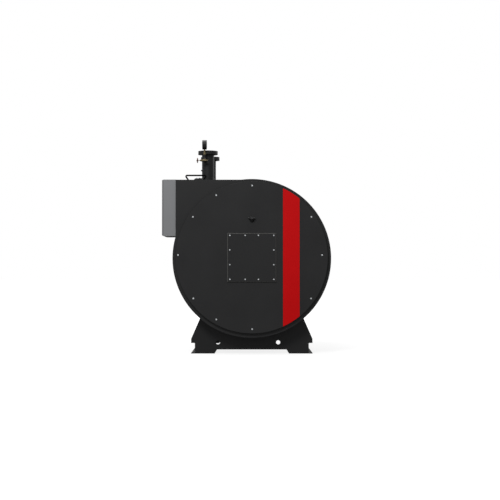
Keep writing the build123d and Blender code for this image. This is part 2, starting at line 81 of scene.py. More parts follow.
# Colours, linear
cover_grey = (0.0106, 0.0107, 0.0110)
cladding_grey = (0.0110, 0.0111, 0.0114)
front_grey = (0.0208, 0.0209, 0.0213)
# Painted shade laid on the front cover's upper rim
painted_rim_shade = (0.0020, 0.0020, 0.0021)
steel_black = (0.0074, 0.0075, 0.0077)
stripe_red = (0.425, 0.0012, 0.0020)
cabinet_grey = (0.153, 0.156, 0.161)
bare_grey = (0.30, 0.29, 0.28)
zinc_grey = (0.36, 0.37, 0.38)
brass_yellow = (0.074, 0.060, 0.034)
gauge_grey = (0.0060, 0.0060, 0.0062)
handle_black = (0.0028, 0.0028, 0.0029)
sight_glass_grey = (0.0120, 0.0122, 0.0128)
wheel_red = (0.062, 0.030, 0.019)
plastic_black = (0.016, 0.016, 0.017)
rubber_black = (0.012, 0.012, 0.012)
dial_white = (0.82, 0.82, 0.80)
mark_black = (0.02, 0.02, 0.02)
dust_grey = (0.115, 0.108, 0.098)
glass_tint = (0.97, 0.985, 0.98)

# Finishes: scales in features to the metre, depths in metres, and ranges of noise, normals and roughness
cloud_scale = 1.6
speck_scale = 55
speck_share = 0.35
tone_range = (0.45, 0.90)
upward_range = (0.55, 1.0)
dust_range = (0.5, 0.9)
dust_dulling = 0.5
wear_radius = 0.004
wear_range = (0.45, 0.62)
edge_range = (0.75, 0.97)
# Slope of the bevels and rims that get painted highlight and painted shade
painted_bevel_range = (-0.97, -0.85)
peel_scale = 420
wave_scale = 1.9
paint_swing = (-0.05, 0.06)
tarnish_scale = 22
metal_grain = 260
metal_grain_depth = 0.00015
metal_swing = (0.08, -0.06)
moulding_scale = 30
plastic_grain_depth = 0.0001
plastic_swing = (-0.06, 0.08)
plastic_shades = (0.88, 1.14)
glass_refraction = 1.45
smear_scale = 60
smear_roughness = (0.01, 0.06)

# Fasteners, in shares of their size
head_outline = ((0, 0), (1, 0), (1, 0.82), (0.86, 1), (0.50, 1), (0.42, 0.94), (0, 0.94))
stud_outline = ((0.45, 0.5), (0.45, 1.0), (0.35, 1.1), (0, 1.1))
rivet_outline = ((1, 0), (0.85, 0.55), (0.5, 0.9), (0, 1))
washer_thickness = 0.18
washer_edge = 0.3
bolt_washer = 1.17
bolt_corner = 0.87
bolt_height = 0.64
nut_corner = 0.9
nut_height = 0.8

# Front and rear covers
cover_bolt_inset = 0.0775
front_bolt_shift = 0.006
front_bolt_turns = (0, -30, 55.7, -55.7, 125, -125, -150, 180)
side_bolt_places = ((-1.299, 0.056), (1.237, 0.056))
rear_bolt_count = 12
cover_bolt_size = 0.0130
plate_bolt_size = 0.011
plate_bolt_inset = 0.046
plate_bolt_steps = (0.1165, 0.1296)
plate_bolt_lift = 0.005
manhole_bolt_size = 0.014
manhole_bolt_count = 12
manhole_bolt_inset = 0.023

# Sheet work of the lagging
rivet_radius = 0.0050
rivet_height = 0.0022
band_rivet_count = 72
band_rivet_inset = 0.012
band_joint_turn = 90
band_joint_half = 4
lap_turns = (30, 120, -150, -60)
covered_lap_turn = -60
lap_width = 0.050
lap_thickness = 0.0012
lap_steps = 4
lap_rivet_pitch = 0.12
lap_rivet_inset = 0.045
edge_screw_count = 48
edge_screw_inset = 0.022
housing_screw_pitch = 0.13
housing_screw_inset = 0.020
housing_end_inset = 0.09
housing_side_rise = 0.62
housing_start_turn = 270

# Weld and sealant beads
weld_radius = 0.0060
thin_weld = 0.004
weld_pitch = 0.009
fewest_ripples = 12
weld_ripple = 0.12
seal_radius = 0.0055
cover_seal_steps = 160
manhole_seal_radius = 0.007
rail_weld_inset = 0.004

# Sight port
sight_port_tilt = 44
sight_glass_radius = 0.0285
sight_glass_thickness = 0.0030
sight_glass_setback = 0.0048
sight_cap_length = 0.014
sight_ear_thickness = 0.008
sight_bolt_reach = 0.052
sight_bolt_size = 0.0095

# Cabinet
seal_width = 0.005
seal_bevel = 0.001
hinge_shares = (0.12, 0.5, 0.88)
hinge_length = 0.070
hinge_pin_radius = 0.007
hinge_pin_edge = 0.001
hinge_leaf = (0.048, 0.003, 0.066)
hinge_leaf_bevel = 0.0008
hinge_screw_offset = 0.0096
hinge_screw_step = 0.020
lock_edge_gap = 0.038
lock_half_spacing = 0.280
lock_depth = 0.006
lock_edge = 0.001
lock_barrel_radius = 0.0125
# Thin dark block that stands for a lock's keyway slot: painted shade
slot_shade_size = (0.0030, 0.0140, 0.0008)
plate_screw_inset = 0.010
gland_plate_thickness = 0.003

# Instruments. A hexagon is its radius at the corners and its height.
sensor_plug = (0.0105, 0.006)
pipe_union = (0.0200, 0.014)
wall_union_gap = 0.045
tee_union_gap = 0.016
riser_nut = (0.0200, 0.013)
riser_nut_gap = 0.001
riser_union = (0.0220, 0.017)
cock_nut = (0.0275, 0.020)
cock_nut_inset = 0.003
gauge_nut = (0.0160, 0.014)
gauge_nut_inset = 0.020
stem_nut = (0.0120, 0.010)
stem_nut_inset = 0.005
valve_nut = (0.0215, 0.012)
valve_nut_inset = 0.030
plug_washer = (0.0190, 0.007)
plug_inset = 0.022
socket_outline = ((0, -0.012), (0.021, -0.012), (0.021, 0.020), (0.019, 0.022), (0, 0.022))
lever_size = (0.010, 0.004, 0.052)
lever_bevel = 0.0012
lever_rise = 0.046
lever_drop = 0.020
lever_reach = 0.024
lever_screw = (0.007, 0.005)
lever_screw_reach = 0.026
lever_pin_radius = 0.006
lever_pin_length = 0.016
lever_pin_reach = 0.010
bleed_inset = 0.032
bleed_outline = ((0, 0), (0.005, 0), (0.005, 0.036), (0.0105, 0.036), (0.0105, 0.048), (0.0063, 0.054),
                 (0, 0.054))
handwheel_nut_size = 0.009

# Sealing faces of the water flanges
face_inner_inset = 0.006
face_outer_inset = 0.045
face_lip = 0.0006

# Rear cover fittings
clamp_inset = 0.09
clamp_offset = 0.008
clamp_bar = (0.074, 0.012, 0.026)
clamp_bar_bevel = 0.003
clamp_post_offset = 0.034
clamp_post = (0.020, 0.030, 0.026)
clamp_post_bevel = 0.002
clamp_nut_size = 0.014
pull_rise = 0.045
pull_half = 0.07
pull_corner = 0.012
pull_ease = 0.0036
pull_radius = 0.006
pull_root = 0.004

# Top handle and saddles
handle_foot_half = 0.125
saddle_weld_half_angle = 41

# Gauge dial
bezel_width = 0.008
dial_recess = 0.006
dial_thickness = 0.0010
dial_sweep = 270
dial_steps = 10
dial_step_ticks = 5
long_tick = (0.009, 0.0014)
short_tick = (0.005, 0.0007)
tick_thickness = 0.0003
tick_inset = 0.004
hub_outline = ((0, 0), (0.006, 0), (0.006, 0.0018), (0.0045, 0.0024), (0, 0.0024))
pointer_size = (0.070, 0.0022, 0.0006)
pointer_offset = (0.018, 0, 0.0012)
dial_labels = (0, 2, 4, 6, 8, 10)
number_size = 0.017
number_inset = 0.024
number_depth = 0.00015
number_lift = 0.0002
glass_thickness = 0.0015
glass_gap = 0.0004


# Mesh helpers

def aimed(origin, normal, upright=up):
    """A place at a point whose local Z runs along a normal."""
    z_axis = Vector(normal).normalized()
    x_axis = Vector(upright).cross(z_axis).normalized()
    y_axis = z_axis.cross(x_axis)
    turn = Matrix((x_axis, y_axis, z_axis)).transposed().to_4x4()
    return Matrix.Translation(origin) @ turn


def standing(origin):
    """A place at a point with its local Z upwards."""
    return Matrix.Translation(origin)


def on_drum(turn, y, radius):
    """A place on the drum, turned clockwise from the top as seen from the front."""
    outwards = Vector((math.sin(math.radians(turn)), 0, math.cos(math.radians(turn))))
    origin = Vector((axis_x, y, axis_z)) + radius * outwards
    return aimed(origin, outwards, upright=to_back)


def neighbours(rings, closed):
    """Each ring with the one after it, and the last with the first if they are closed."""
    return list(zip(rings, rings[1:])) + ([(rings[-1], rings[0])] if closed else [])


def lathe(bm, place, profile, steps=24, closed=False):
    """Revolve (radius, height) points about the local Z axis of a place."""
    rings = []
    for radius, height in profile:
        count = steps if radius > 0 else 1
        ring = []
        for step in range(count):
            angle = 2 * math.pi * step / steps
            point = Vector((radius * math.cos(angle), radius * math.sin(angle), height))
            ring.append(bm.verts.new(place @ point))
        rings.append(ring)
    for lower, upper in neighbours(rings, closed):
        for step in range(steps):
            after = (step + 1) % steps
            ends = ((lower, step), (lower, after), (upper, after), (upper, step))
            corners = [ring[index % len(ring)] for ring, index in ends]
            bm.faces.new(list(dict.fromkeys(corners)))


def disc(radius, start, end):
    """The profile of a plain disc or pin, for the lathe."""
    return (0, start), (radius, start), (radius, end), (0, end)


def scaled(outline, radius, height):
    """A profile for the lathe from an outline given in shares of a radius and a height."""
    return [(radius * across, height * rise) for across, rise in outline]


def skin(bm, rings, closed=False):
    """Faces between rings that have the same number of points, and over both ends unless closed."""
    for first, second in neighbours(rings, closed):
        for step in range(len(first)):
            after = (step + 1) % len(first)
            bm.faces.new((first[step], first[after], second[after], second[step]))
    if not closed:
        bm.faces.new(rings[0])
        bm.faces.new(rings[-1])


def tube(bm, points, radius, steps=6, closed=False, ripple=0.0):
    """A round bar along a line of points. A ripple varies its radius from point to point."""
    count = len(points)
    rings = []
    side = None
    for index, point in enumerate(points):
        before = points[index - 1] if index or closed else point
        after = points[(index + 1) % count] if index < count - 1 or closed else point
        direction = (after - before).normalized()
        if side is None:
            side = direction.orthogonal().normalized()
        side = (side - side.dot(direction) * direction).normalized()
        other = direction.cross(side)
        size = radius * (1 + ripple * randoms.uniform(-1, 1))
        ring = []
        for step in range(steps):
            angle = 2 * math.pi * step / steps
            ring.append(bm.verts.new(point + size * (math.cos(angle) * side + math.sin(angle) * other)))
        rings.append(ring)
    skin(bm, rings, closed)


def block(bm, place, size, bevel=0.0):
    """A box centred on a place, with bevelled edges."""
    made = bmesh.ops.create_cube(bm, size=1, matrix=place @ Matrix.Diagonal((*size, 1)))
    if bevel:
        edges = {edge for vert in made["verts"] for edge in vert.link_edges}
        bmesh.ops.bevel(bm, geom=list(edges), offset=bevel, segments=2, affect="EDGES")


def circle_points(centre, radius, count, second_axis):
    """Points round a circle that lies across the boiler and along a second axis."""
    points = []
    for index in range(count):
        angle = 2 * math.pi * index / count
        points.append(centre + radius * (math.cos(angle) * to_right + math.sin(angle) * second_axis))
    return points


def weld_count(length):
    """How many ripples a weld bead of a length has."""
    return max(fewest_ripples, round(length / weld_pitch))


def add_piece(name, bm, finish, sharp=35):
    """Turn a bmesh into a piece that rides on the boiler, with the slot of its finish."""
    bmesh.ops.recalc_face_normals(bm, faces=bm.faces)
    mesh = bpy.data.meshes.new(name)
    bm.to_mesh(mesh)
    bm.free()
    mesh.materials.append(materials[finish])
    mesh.shade_smooth()
    mesh.set_sharp_from_angle(angle=math.radians(sharp))
    piece = bpy.data.objects.new(name, mesh)
    bpy.context.scene.collection.objects.link(piece)
    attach(piece, "root")


# Fasteners

def hex_head(bm, place, corner, height):
    """A hexagon with a chamfered and slightly dished top."""
    lathe(bm, place, scaled(head_outline, corner, height), steps=6)


def washer(bm, place, radius, thickness):
    """A flat round washer with a chamfered edge."""
    edge = thickness * washer_edge
    profile = ((0, 0), (radius, 0), (radius, thickness - edge), (radius - edge, thickness), (0, thickness))
    lathe(bm, place, profile)


def bolt(bm, place, size):
    """A hexagon bolt on its washer, turned to a place of its own."""
    thickness = size * washer_thickness
    washer(bm, place, size * bolt_washer, thickness)
    turn = Matrix.Rotation(randoms.uniform(0, math.pi), 4, "Z")
    head_place = place @ Matrix.Translation((0, 0, thickness)) @ turn
    hex_head(bm, head_place, size * bolt_corner, size * bolt_height)


def stud_nut(bm, place, size):
    """A nut on its washer with the end of a stud through it."""
    thickness = size * washer_thickness
    washer(bm, place, size, thickness)
    turn = Matrix.Rotation(randoms.uniform(0, math.pi), 4, "Z")
    nut_place = place @ Matrix.Translation((0, 0, thickness)) @ turn
    hex_head(bm, nut_place, size * nut_corner, size * nut_height)
    lathe(bm, nut_place, scaled(stud_outline, size, size), steps=12)


def rivet(bm, place):
    """A low domed rivet."""
    lathe(bm, place, scaled(rivet_outline, rivet_radius, rivet_height), steps=10)


def even_turns(count):
    """Even turns round the drum, with the top halfway between two of them."""
    return [(index + 0.5) * 360 / count for index in range(count)]


def spaced(first, last, pitch, inset):
    """Even stations between two ends, kept an inset away from both."""
    length = last - first - 2 * inset
    count = max(1, round(length / pitch))
    return [first + inset + length * index / count for index in range(count + 1)]


# Material helpers

# The colour sockets of a mix node
mix_first = 6
mix_second = 7
mix_result = 2

materials = {}


def add_node(tree, kind, inputs=None, **settings):
    """Add a shader node with its settings, and give its inputs their sockets or values."""
    node = tree.nodes.new("ShaderNode" + kind)
    for setting, value in settings.items():
        setattr(node, setting, value)
    for name, value in (inputs or {}).items():
        if isinstance(value, bpy.types.NodeSocket):
            tree.links.new(value, node.inputs[name])
        else:
            node.inputs[name].default_value = value
    return node


def emptied(owner):
    """The node tree of a material or world, with nothing in it."""
    owner.use_nodes = True
    owner.node_tree.nodes.clear()
    return owner.node_tree


def new_material(name):
    """A material with one principled shader, kept under its name."""
    material = bpy.data.materials.new(name)
    materials[name] = material
    tree = emptied(material)
    shader = add_node(tree, "BsdfPrincipled")
    add_node(tree, "OutputMaterial", {"Surface": shader.outputs["BSDF"]})
    return tree, shader


def place_coordinates(tree):
    """Metres in the boiler's own frame."""
    return add_node(tree, "TexCoord").outputs["Object"]


def noise(tree, scale, detail=3.0):
    """Noise with a number of features to the metre."""
    inputs = {"Vector": place_coordinates(tree), "Scale": scale, "Detail": detail}
    return add_node(tree, "TexNoise", inputs).outputs["Fac"]


def remapped(tree, value, low, high, start=0.3, end=0.7):
    """A value socket moved from one range to another."""
    inputs = {"Value": value, "From Min": start, "From Max": end, "To Min": low, "To Max": high}
    return add_node(tree, "MapRange", inputs).outputs["Result"]


def calculated(tree, operation, first, second):
    """A sum, product or the like of two value sockets or numbers."""
    return add_node(tree, "Math", {0: first, 1: second}, operation=operation).outputs["Value"]


def mixed(tree, factor, first, second):
    """A mix of two colours, or colour sockets, by a value socket."""
    first, second = ((*colour, 1) if isinstance(colour, tuple) else colour for colour in (first, second))
    inputs = {0: factor, mix_first: first, mix_second: second}
    return add_node(tree, "Mix", inputs, data_type="RGBA").outputs[mix_result]


def uneven(tree, value, middle, swing):
    """A number that a value socket moves between the two ends of a swing."""
    low, high = swing
    return remapped(tree, value, middle + low, middle + high)


def mottled(tree, value, colour, dark, light):
    """A colour that a value socket moves from a dark shade of it to a light one."""
    return mixed(tree, value, shaded(colour, dark), shaded(colour, light))


def add_bump(tree, shader, layers):
    """Bump the shader by (height socket, depth in metres) layers."""
    normal = {}
    for height, depth in layers:
        bump = add_node(tree, "Bump", {"Height": height, "Distance": depth, **normal})
        normal = {"Normal": bump.outputs["Normal"]}
    tree.links.new(normal["Normal"], shader.inputs["Normal"])


def shaded(colour, factor):
    """A colour made lighter or darker."""
    return tuple(min(1, channel * factor) for channel in colour)


def normal_part(tree, axis):
    """How far the surface's normal points along an axis."""
    normal = add_node(tree, "NewGeometry").outputs["Normal"]
    return add_node(tree, "SeparateXYZ", {"Vector": normal}).outputs[axis]


def edge_mask(tree):
    """One close to sharp edges, nought on flat faces."""
    bevel = add_node(tree, "Bevel", {"Radius": wear_radius}, samples=4)
    geometry = add_node(tree, "NewGeometry")
    normals = {0: bevel.outputs["Normal"], 1: geometry.outputs["Normal"]}
    dot = add_node(tree, "VectorMath", normals, operation="DOT_PRODUCT")
    return remapped(tree, dot.outputs["Value"], 1, 0, *edge_range)


def bevel_mask(tree, start, end):
    """One on bevels and rims whose normal's rise lies past a range's end, nought before its start; it
    places painted light and shade.
    """
    sloped = remapped(tree, normal_part(tree, "Y"), 0, 1, *painted_bevel_range)
    return calculated(tree, "MULTIPLY", sloped, remapped(tree, normal_part(tree, "Z"), 0, 1, start, end))


def painted(name, colour, roughness, specular, mottle=0.10, dust=0.25, peel=0.00022, wave=0.0, wear=0.0,
            bevel=None):
    """Powder paint on steel: fine orange peel, slight clouds, dust on top, worn edges, and painted
    highlight and shade on bevels.
    """
    tree, shader = new_material(name)
    shader.inputs["Specular IOR Level"].default_value = specular
    clouds = noise(tree, cloud_scale, detail=5)
    specks = noise(tree, speck_scale, detail=4)
    drift = calculated(tree, "ADD", calculated(tree, "MULTIPLY", specks, speck_share), clouds)
    base = mottled(tree, remapped(tree, drift, 0, 1, *tone_range), colour, 1 - mottle, 1 + mottle)
    upward = remapped(tree, normal_part(tree, "Z"), 0, 1, *upward_range)
    dusty = calculated(tree, "MULTIPLY", upward, remapped(tree, drift, 0, dust, *dust_range))
    base = mixed(tree, dusty, base, dust_grey)
    if wear:
        worn = remapped(tree, specks, 0, wear, *wear_range)
        base = mixed(tree, calculated(tree, "MULTIPLY", edge_mask(tree), worn), base, bare_grey)
    # Painted light and shade: the bevels and rims the mask picks are lightened into a painted highlight or
    # darkened into painted shade by the colour given.
    if bevel:
        painted_tone, share, start, end = bevel
        base = mixed(tree, calculated(tree, "MULTIPLY", bevel_mask(tree, start, end), share), base, painted_tone)
    tree.links.new(base, shader.inputs["Base Color"])
    gloss = uneven(tree, clouds, roughness, paint_swing)
    dull = calculated(tree, "MULTIPLY", dusty, dust_dulling)
    tree.links.new(calculated(tree, "ADD", gloss, dull), shader.inputs["Roughness"])
    layers = [(noise(tree, peel_scale, detail=2), peel)]
    if wave:
        layers.append((noise(tree, wave_scale, detail=1), wave))
    add_bump(tree, shader, layers)


def metal(name, colour, roughness, mottle=0.12):
    """Bare metal with a fine grain and a slightly uneven tarnish."""
    tree, shader = new_material(name)
    shader.inputs["Metallic"].default_value = 1.0
    clouds = noise(tree, tarnish_scale, detail=5)
    base = mottled(tree, remapped(tree, clouds, 0, 1), colour, 1 - mottle, 1 + mottle)
    tree.links.new(base, shader.inputs["Base Color"])
    tree.links.new(uneven(tree, clouds, roughness, metal_swing), shader.inputs["Roughness"])
    add_bump(tree, shader, [(noise(tree, metal_grain), metal_grain_depth)])


def plastic(name, colour, roughness, specular=0.3, grain=900):
    """Moulded plastic or rubber with a fine grain."""
    tree, shader = new_material(name)
    shader.inputs["Specular IOR Level"].default_value = specular
    clouds = noise(tree, moulding_scale, detail=4)
    base = mottled(tree, remapped(tree, clouds, 0, 1), colour, *plastic_shades)
    tree.links.new(base, shader.inputs["Base Color"])
    tree.links.new(uneven(tree, clouds, roughness, plastic_swing), shader.inputs["Roughness"])
    add_bump(tree, shader, [(noise(tree, grain, detail=2), plastic_grain_depth)])


def clear_glass(name):
    """Flat clear glass with faint smears."""
    tree, shader = new_material(name)
    shader.inputs["Base Color"].default_value = (*glass_tint, 1)
    shader.inputs["Transmission Weight"].default_value = 1.0
    shader.inputs["IOR"].default_value = glass_refraction
    smears = remapped(tree, noise(tree, smear_scale), *smear_roughness)
    tree.links.new(smears, shader.inputs["Roughness"])


# Finishes

painted("cover_paint", cover_grey, roughness=0.52, specular=0.13, dust=0.12, wave=0.0006, wear=0.25)
# The front cover's rim, where it faces up, is darkened with near black: painted shade.
painted("front_paint", front_grey, roughness=0.56, specular=0.04, dust=0.03, wave=0.0006,
        bevel=(painted_rim_shade, 0.75, 0.05, 0.30))
# The burner plate's bevels that face sideways and down are lightened with bare grey: painted highlight.
painted("plate_paint", cover_grey, roughness=0.52, specular=0.13, wave=0.0006, wear=0.25,
        bevel=(bare_grey, 0.15, 1.20, 0.20))
painted("cladding_paint", cladding_grey, roughness=0.46, specular=0.16, dust=0.12, wave=0.0022)
painted("red_panel", stripe_red, roughness=0.50, specular=0.08, mottle=0.05, dust=0.08)
painted("black_steel", steel_black, roughness=0.50, specular=0.13, mottle=0.16, dust=0.30, wear=0.45)
painted("cabinet_paint", cabinet_grey, roughness=0.48, specular=0.22, mottle=0.035, dust=0.12, wave=0.0006)
painted("handwheel_paint", wheel_red, roughness=0.48, specular=0.16, mottle=0.12, dust=0.05, wear=0.3)
painted("gauge_black", gauge_grey, roughness=0.50, specular=0.12, dust=0.03)
painted("handle_paint", handle_black, roughness=0.60, specular=0.01, dust=0.01, peel=0.00006)
metal("bare_steel", bare_grey, roughness=0.48, mottle=0.25)
metal("zinc_steel", zinc_grey, roughness=0.34)
metal("brass", brass_yellow, roughness=0.46, mottle=0.15)
plastic("gland_plastic", plastic_black, roughness=0.50)
plastic("rubber_seal", rubber_black, roughness=0.72, specular=0.2)
plastic("dial_face", dial_white, roughness=0.45)
plastic("dial_marks", mark_black, roughness=0.55)
clear_glass("clear_glass")
plastic("sooted_glass", sight_glass_grey, roughness=0.65, specular=0.12, grain=300)

node_finishes = {
    "cover_paint": ("front_end_plate", "corner_housing", "rear_end_plate", "rear_cover",
                    "left_cleanout_cover", "right_cleanout_cover"),
    "front_paint": ("front_cover",),
    "cladding_paint": ("cladding_front", "cladding_middle", "cladding_manhole_panel", "cladding_rear",
                       "seam_band_front", "seam_band_rear"),
    "red_panel": ("stripe_panel",),
    "cabinet_paint": ("cabinet_body", "cabinet_door"),
    "gland_plastic": ("cabinet_gland_plate",),
    "bare_steel": ("pressure_shell_front", "pressure_shell_middle", "pressure_shell_rear",
                   "pressure_shell_manhole_plate"),
    "brass": ("gauge_cock", "vent_valve"),
    "gauge_black": ("pressure_gauge", "sight_port_neck", "sight_port_cap"),
    "handle_paint": ("top_handle",),
    "plate_paint": ("burner_plate",),
    "handwheel_paint": ("vent_handwheel",),
}


def finish_nodes():
    """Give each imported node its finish. Bars, flanges and saddles are black steel."""
    finish_of = {node: finish for finish, nodes in node_finishes.items() for node in nodes}
    for name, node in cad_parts.items():
        material = materials[finish_of.get(name, "black_steel")]
        if not node.material_slots:
            node.data.materials.append(material)
        for slot in node.material_slots:
            slot.material = material


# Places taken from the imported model

cover_low, cover_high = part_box("front_cover")
drum_low, drum_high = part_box("cladding_rear")
rear_low, rear_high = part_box("rear_cover")
axis_x = (drum_low.x + drum_high.x) / 2
axis_z = (drum_low.z + drum_high.z) / 2
cover_radius = (cover_high.x - cover_low.x) / 2
drum_radius = (drum_high.x - drum_low.x) / 2
cover_front = cover_low.y
rear_face = rear_high.y
drum_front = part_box("cladding_front")[0].y


def box_of(node):
    """The lowest and highest corners of a node, and its middle."""
    low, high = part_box(node)
    return low, high, (low + high) / 2


def left_side(node):
    """The middle of the left side of a node's box."""
    low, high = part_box(node)
    return Vector((low.x, (low.y + high.y) / 2, (low.z + high.z) / 2))


# Covers

def add_cover_bolts():
    """Bolts round the front cover, apart from where the stripe lies, and round the rear cover."""
    circle = cover_radius - cover_bolt_inset
    front = bmesh.new()
    shift = Vector((front_bolt_shift, 0, (cover_low.z + cover_high.z) / 2 - axis_z))
    places = [on_drum(turn, cover_front, circle).translation + shift for turn in front_bolt_turns]
    places += [Vector((axis_x + x, cover_front, axis_z + z)) for x, z in side_bolt_places]
    for place in places:
        bolt(front, aimed(place, to_front), cover_bolt_size)
    add_piece("front_cover_bolts", front, "zinc_steel")
    rear = bmesh.new()
    for turn in even_turns(rear_bolt_count):
        bolt(rear, aimed(on_drum(turn, rear_face, circle).translation, to_back), cover_bolt_size)
    add_piece("rear_cover_bolts", rear, "zinc_steel")


def add_burner_plate_bolts():
    """Four bolts along each side of the square plate."""
    low, high, centre = box_of("burner_plate")
    reach = (high.x - low.x) / 2 - plate_bolt_inset
    across, upwards = ((-reach, -step, step, reach) for step in plate_bolt_steps)
    bolts = bmesh.new()
    for x in across:
        for z in upwards:
            if max(abs(x), abs(z)) == reach:
                point = Vector((centre.x + x, low.y, centre.z + plate_bolt_lift + z))
                bolt(bolts, aimed(point, to_front), plate_bolt_size)
    add_piece("burner_plate_bolts", bolts, "zinc_steel")


def add_sight_glass():
    """The pane in the leaning sight port, and the two bolts through its ears."""
    low, high, centre = box_of("sight_port_cap")
    tilt = math.radians(sight_port_tilt)
    outwards = Vector((0, -math.cos(tilt), math.sin(tilt)))
    down = Vector((0, -math.sin(tilt), -math.cos(tilt)))
    ring_radius = (high.z - low.z - sight_cap_length * math.sin(tilt)) / (2 * math.cos(tilt))
    face = Vector((centre.x, low.y, 0)) - ring_radius * down
    face.z = high.z - ring_radius * math.cos(tilt)
    pane = bmesh.new()
    glass_place = aimed(face - sight_glass_setback * outwards, outwards)
    lathe(pane, glass_place, disc(sight_glass_radius, 0, sight_glass_thickness), steps=40)
    add_piece("sight_port_glass", pane, "sooted_glass")
    bolts = bmesh.new()
    ear_face = face - (sight_cap_length - sight_ear_thickness) * outwards
    for side in (-1, 1):
        stud_nut(bolts, aimed(ear_face + side * sight_bolt_reach * to_right, outwards), sight_bolt_size)
    add_piece("sight_port_bolts", bolts, "black_steel")


def add_rear_cover_seal():
    """The rope seal that shows as a thin dark line round the rear cover."""
    seal = bmesh.new()
    centre = Vector((axis_x, rear_low.y + seal_radius, axis_z))
    points = circle_points(centre, cover_radius, cover_seal_steps, up)
    tube(seal, points, seal_radius, closed=True)
    add_piece("rear_cover_seal", seal, "rubber_seal")


# Lagging

def add_band_rivets():
    """Two rows of rivets along each strap, apart from where its ends meet on the right."""
    rivets = bmesh.new()
    for band in ("seam_band_front", "seam_band_rear"):
        low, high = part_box(band)
        radius = (high.x - low.x) / 2
        for y in (low.y + band_rivet_inset, high.y - band_rivet_inset):
            for turn in even_turns(band_rivet_count):
                if abs(turn - band_joint_turn) > band_joint_half:
                    rivet(rivets, on_drum(turn, y, radius))
    add_piece("seam_band_rivets", rivets, "zinc_steel")


def add_lap_seams():
    """The edge of each cladding sheet, lapped over its neighbour along the drum, and its rivets."""
    laps = bmesh.new()
    rivets = bmesh.new()
    for section in ("cladding_front", "cladding_middle", "cladding_rear"):
        low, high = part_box(section)
        for turn in lap_turns:
            if turn == covered_lap_turn and section == "cladding_front":
                continue
            add_lap(laps, turn, low.y, high.y)
            for y in spaced(low.y, high.y, lap_rivet_pitch, lap_rivet_inset):
                rivet(rivets, on_drum(turn, y, drum_radius + lap_thickness))
    add_piece("cladding_laps", laps, "cladding_paint")
    add_piece("cladding_lap_rivets", rivets, "zinc_steel")


def add_lap(bm, middle, front, back):
    """A thin curved strip along the drum, with its middle at a turn."""
    inner = drum_radius - lap_thickness
    outer = drum_radius + lap_thickness
    width = math.degrees(lap_width / drum_radius)
    rings = []
    for index in range(lap_steps + 1):
        turn = middle + width * (index / lap_steps - 0.5)
        corners = ((front, inner), (front, outer), (back, outer), (back, inner))
        rings.append([bm.verts.new(on_drum(turn, y, radius).translation) for y, radius in corners])
    skin(bm, rings)


def add_edge_screws():
    """Screws that hold the cladding at both ends of the drum, apart from where the housing covers it."""
    screws = bmesh.new()
    for turn in even_turns(edge_screw_count):
        rivet(screws, on_drum(turn, drum_high.y - edge_screw_inset, drum_radius))
        if turn < housing_start_turn:
            rivet(screws, on_drum(turn, drum_front + edge_screw_inset, drum_radius))
    add_piece("cladding_edge_screws", screws, "zinc_steel")


def add_housing_screws():
    """Screws along the front and back edges of the housing's lid and down its back face."""
    low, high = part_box("corner_housing")
    screws = bmesh.new()
    lid_end = axis_x - math.sqrt(drum_radius**2 - (high.z - axis_z)**2)
    for y in (low.y + housing_screw_inset, high.y - housing_screw_inset):
        for x in spaced(low.x, lid_end, housing_screw_pitch, housing_screw_inset):
            rivet(screws, standing((x, y, high.z)))
    for y in spaced(low.y, high.y, housing_screw_pitch, housing_end_inset):
        rivet(screws, standing((low.x + housing_screw_inset, y, high.z)))
    for z in spaced(axis_z + housing_side_rise, high.z, housing_screw_pitch, housing_screw_inset):
        rivet(screws, aimed((low.x + housing_screw_inset, high.y, z), to_back))
    add_piece("corner_housing_screws", screws, "zinc_steel")


# Cabinet

def add_cabinet_seal():
    """The black seal that shows round the door."""
    low, high, middle = box_of("cabinet_door")
    seal = bmesh.new()
    x = high.x - seal_width / 2
    width = high.y - low.y
    height = high.z - low.z + 2 * seal_width
    for y in (low.y - seal_width / 2, high.y + seal_width / 2):
        block(seal, standing((x, y, middle.z)), (seal_width, seal_width, height), bevel=seal_bevel)
    for z in (low.z - seal_width / 2, high.z + seal_width / 2):
        block(seal, standing((x, middle.y, z)), (seal_width, width, seal_width), bevel=seal_bevel)
    add_piece("cabinet_door_seal", seal, "rubber_seal")


def add_cabinet_hinges():
    """Three hinges on the door's rear edge: a leaf on the cabinet's end and a pin barrel."""
    door_low, door_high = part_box("cabinet_door")
    body_low, body_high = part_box("cabinet_body")
    hinges = bmesh.new()
    inner = hinge_pin_radius - hinge_pin_edge
    pin = ((0, 0), (inner, 0), (hinge_pin_radius, hinge_pin_edge),
           (hinge_pin_radius, hinge_length - hinge_pin_edge), (inner, hinge_length), (0, hinge_length))
    for share in hinge_shares:
        z = door_low.z + share * (door_high.z - door_low.z)
        barrel = Vector((door_high.x - inner, body_high.y + hinge_pin_radius, z - hinge_length / 2))
        lathe(hinges, standing(barrel), pin, steps=16)
        leaf = Vector((body_low.x + hinge_leaf[0] / 2, body_high.y + hinge_leaf[1] / 2, z))
        block(hinges, standing(leaf), hinge_leaf, bevel=hinge_leaf_bevel)
        for offset in (-hinge_screw_step, hinge_screw_step):
            screw = leaf + Vector((hinge_screw_offset, hinge_leaf[1] / 2, offset))
            rivet(hinges, aimed(screw, to_back))
    add_piece("cabinet_hinges", hinges, "zinc_steel")


